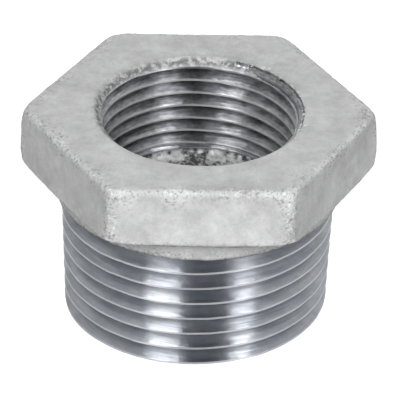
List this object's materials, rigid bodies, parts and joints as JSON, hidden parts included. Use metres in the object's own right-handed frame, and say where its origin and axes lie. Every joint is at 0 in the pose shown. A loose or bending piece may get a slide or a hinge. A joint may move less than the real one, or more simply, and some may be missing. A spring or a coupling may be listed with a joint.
{
  "type": "hex bushing",
  "caption": "Reducing pipe bushing: a tapered male pipe thread under a drafted hexagonal head, with a smaller female pipe thread and a cast waterway through it.",
  "frame": {"origin": "centre of the end face of the male thread, on the thread axis, at the part's lowest level", "axes": "+Z along the thread axis, from the male end towards the top of the hexagonal head; +X through a corner of the hexagon, +Y square to a flat"},
  "size_m": [0.0438, 0.0382, 0.0272],
  "materials": {
    "galvanised_iron": "hot-dip galvanised cast skin, matte and slightly lumpy, with bare machined threads"
  },
  "bodies": {
    "root": {"hex_bushing": "galvanised_iron"}
  },
  "joints": []
}
